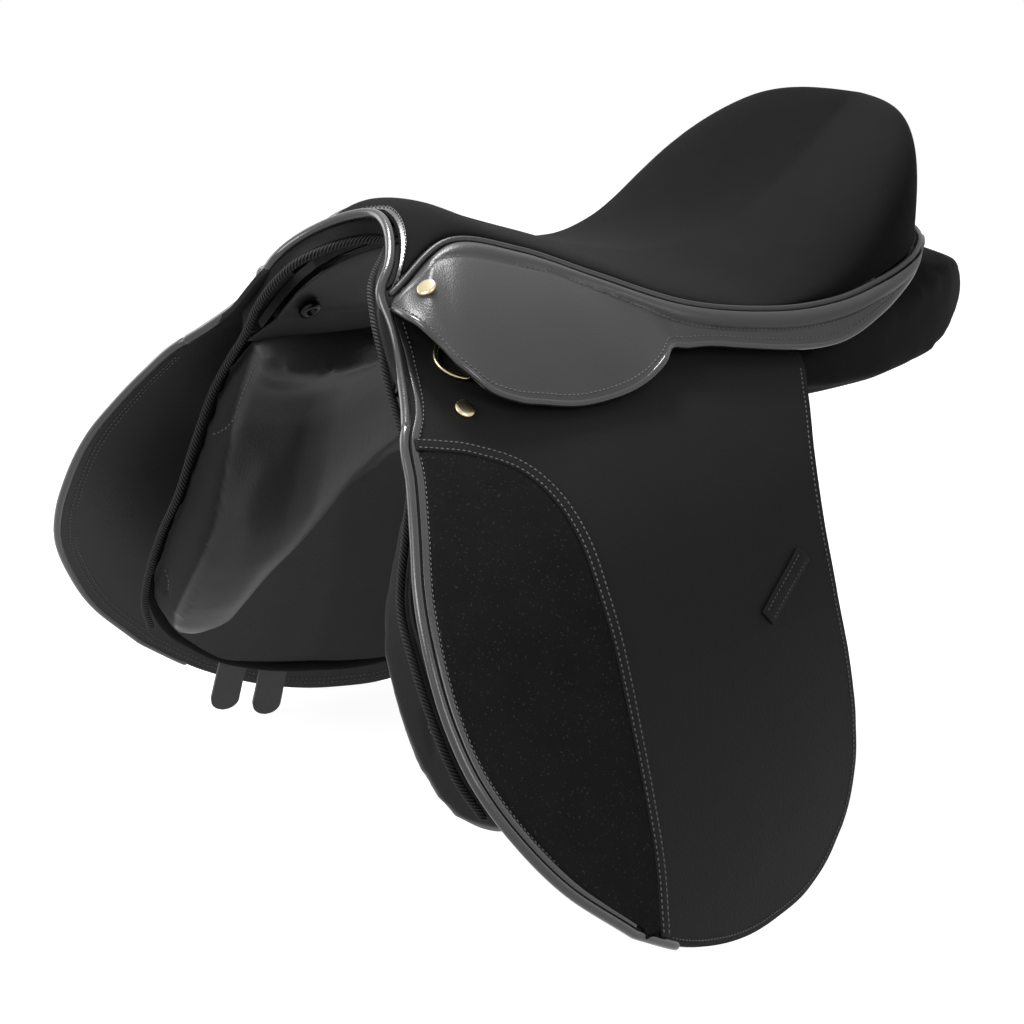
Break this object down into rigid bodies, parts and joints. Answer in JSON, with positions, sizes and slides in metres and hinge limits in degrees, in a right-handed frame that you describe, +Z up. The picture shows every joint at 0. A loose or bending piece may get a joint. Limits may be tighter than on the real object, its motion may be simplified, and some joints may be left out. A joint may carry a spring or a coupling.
{
  "type": "all-purpose riding saddle",
  "caption": "English all-purpose riding saddle with a deep seat, curved lifting flaps, suede knee inserts, hinged skirt lobes, stirrup bars and padded panels.",
  "frame": {"origin": "on the line of the horse's back under the saddle's middle, level with the underside of the rear panels", "axes": "+X to the saddle's left (near) side, -Y towards the horse's head, +Z up"},
  "size_m": [0.5768, 0.5289, 0.4567],
  "materials": {
    "black_leather": "smooth satin leather",
    "black_steel": "black coated steel",
    "black_suede": "napped suede",
    "black_webbing": "ribbed woven tape",
    "brass": "polished brass",
    "foam": "open foam, hidden",
    "panel_leather": "soft matte leather",
    "seat_microfibre": "matte microfibre",
    "steel": "forged and polished",
    "tree_polymer": "moulded polymer, hidden"
  },
  "bodies": {
    "saddle": {"arch_piping": "black_leather", "cantle_band": "black_leather", "catch_pin_left": "steel", "catch_pin_right": "steel", "dee_staple_left": "brass", "dee_staple_right": "brass", "flap_nail_left": "brass", "flap_nail_right": "brass", "flap_top_left": "black_leather", "flap_top_right": "black_leather", "girth_web_left": "black_webbing", "girth_web_right": "black_webbing", "gullet_lining": "panel_leather", "gullet_plate": "black_steel", "gullet_screw_left": "black_steel", "gullet_screw_right": "black_steel", "panel_binding": "black_webbing", "panel_front_left": "panel_leather", "panel_front_right": "panel_leather", "panel_rear_left": "panel_leather", "panel_rear_right": "panel_leather", "pommel_facing": "black_leather", "seat_cover": "seat_microfibre", "seat_foam": "foam", "seat_piping": "black_leather", "skirt_left": "black_leather", "skirt_nail_left": "brass", "skirt_nail_right": "brass", "skirt_right": "black_leather", "stirrup_bar_left": "steel", "stirrup_bar_right": "steel", "sweat_binding_left": "black_webbing", "sweat_binding_right": "black_webbing", "sweat_flap_left": "black_leather", "sweat_flap_right": "black_leather", "tree": "tree_polymer"},
    "flap_body_left": {"flap_left": "black_leather", "flap_piping_left": "black_leather", "knee_insert_left": "black_suede", "insert_border_left": "black_leather", "keeper_left": "black_leather"},
    "skirt_lobe_body_left": {"skirt_lobe_left": "black_leather"},
    "dee_body_left": {"dee_ring_left": "brass"},
    "catch_body_left": {"stirrup_catch_left": "steel"},
    "front_strap_body_left": {"girth_strap_front_left": "black_leather"},
    "rear_strap_body_left": {"girth_strap_rear_left": "black_leather"},
    "flap_body_right": {"flap_right": "black_leather", "flap_piping_right": "black_leather", "knee_insert_right": "black_suede", "insert_border_right": "black_leather", "keeper_right": "black_leather"},
    "skirt_lobe_body_right": {"skirt_lobe_right": "black_leather"},
    "dee_body_right": {"dee_ring_right": "brass"},
    "catch_body_right": {"stirrup_catch_right": "steel"},
    "front_strap_body_right": {"girth_strap_front_right": "black_leather"},
    "rear_strap_body_right": {"girth_strap_rear_right": "black_leather"}
  },
  "joints": [
    {"name": "flap_lift_left", "type": "hinge", "parent": "saddle", "child": "flap_body_left", "pos_m": [0.13126, -0.26, 0.03603], "axis": [-0.0398, -0.9984, 0.0392], "range_deg": [0, 75]},
    {"name": "skirt_lift_left", "type": "hinge", "parent": "saddle", "child": "skirt_lobe_body_left", "pos_m": [0.108, -0.2205, 0.084], "axis": [0, -1, 0], "range_deg": [0, 70]},
    {"name": "dee_swing_left", "type": "hinge", "parent": "saddle", "child": "dee_body_left", "pos_m": [0.09449, -0.194, 0.06531], "axis": [-0.8103, 0, 0.586], "range_deg": [0, 25]},
    {"name": "catch_turn_left", "type": "hinge", "parent": "saddle", "child": "catch_body_left", "pos_m": [0.11071, -0.099, 0.06632], "axis": [0.5543, 0, 0.8323], "range_deg": [0, 90]},
    {"name": "front_strap_swing_left", "type": "hinge", "parent": "saddle", "child": "front_strap_body_left", "pos_m": [0.17291, -0.172, -0.02067], "axis": [0, -1, 0], "range_deg": [0, 6]},
    {"name": "rear_strap_swing_left", "type": "hinge", "parent": "saddle", "child": "rear_strap_body_left", "pos_m": [0.17208, -0.14, -0.02112], "axis": [0, -1, 0], "range_deg": [0, 6]},
    {"name": "flap_lift_right", "type": "hinge", "parent": "saddle", "child": "flap_body_right", "pos_m": [-0.13126, -0.26, 0.03603], "axis": [-0.0398, 0.9984, -0.0392], "range_deg": [0, 75]},
    {"name": "skirt_lift_right", "type": "hinge", "parent": "saddle", "child": "skirt_lobe_body_right", "pos_m": [-0.108, -0.2205, 0.084], "axis": [0, 1, 0], "range_deg": [0, 70]},
    {"name": "dee_swing_right", "type": "hinge", "parent": "saddle", "child": "dee_body_right", "pos_m": [-0.09449, -0.194, 0.06531], "axis": [-0.8103, 0, -0.586], "range_deg": [0, 25]},
    {"name": "catch_turn_right", "type": "hinge", "parent": "saddle", "child": "catch_body_right", "pos_m": [-0.11071, -0.099, 0.06632], "axis": [0.5543, 0, -0.8323], "range_deg": [0, 90]},
    {"name": "front_strap_swing_right", "type": "hinge", "parent": "saddle", "child": "front_strap_body_right", "pos_m": [-0.17291, -0.172, -0.02067], "axis": [0, 1, 0], "range_deg": [0, 6]},
    {"name": "rear_strap_swing_right", "type": "hinge", "parent": "saddle", "child": "rear_strap_body_right", "pos_m": [-0.17208, -0.14, -0.02112], "axis": [0, 1, 0], "range_deg": [0, 6]}
  ]
}
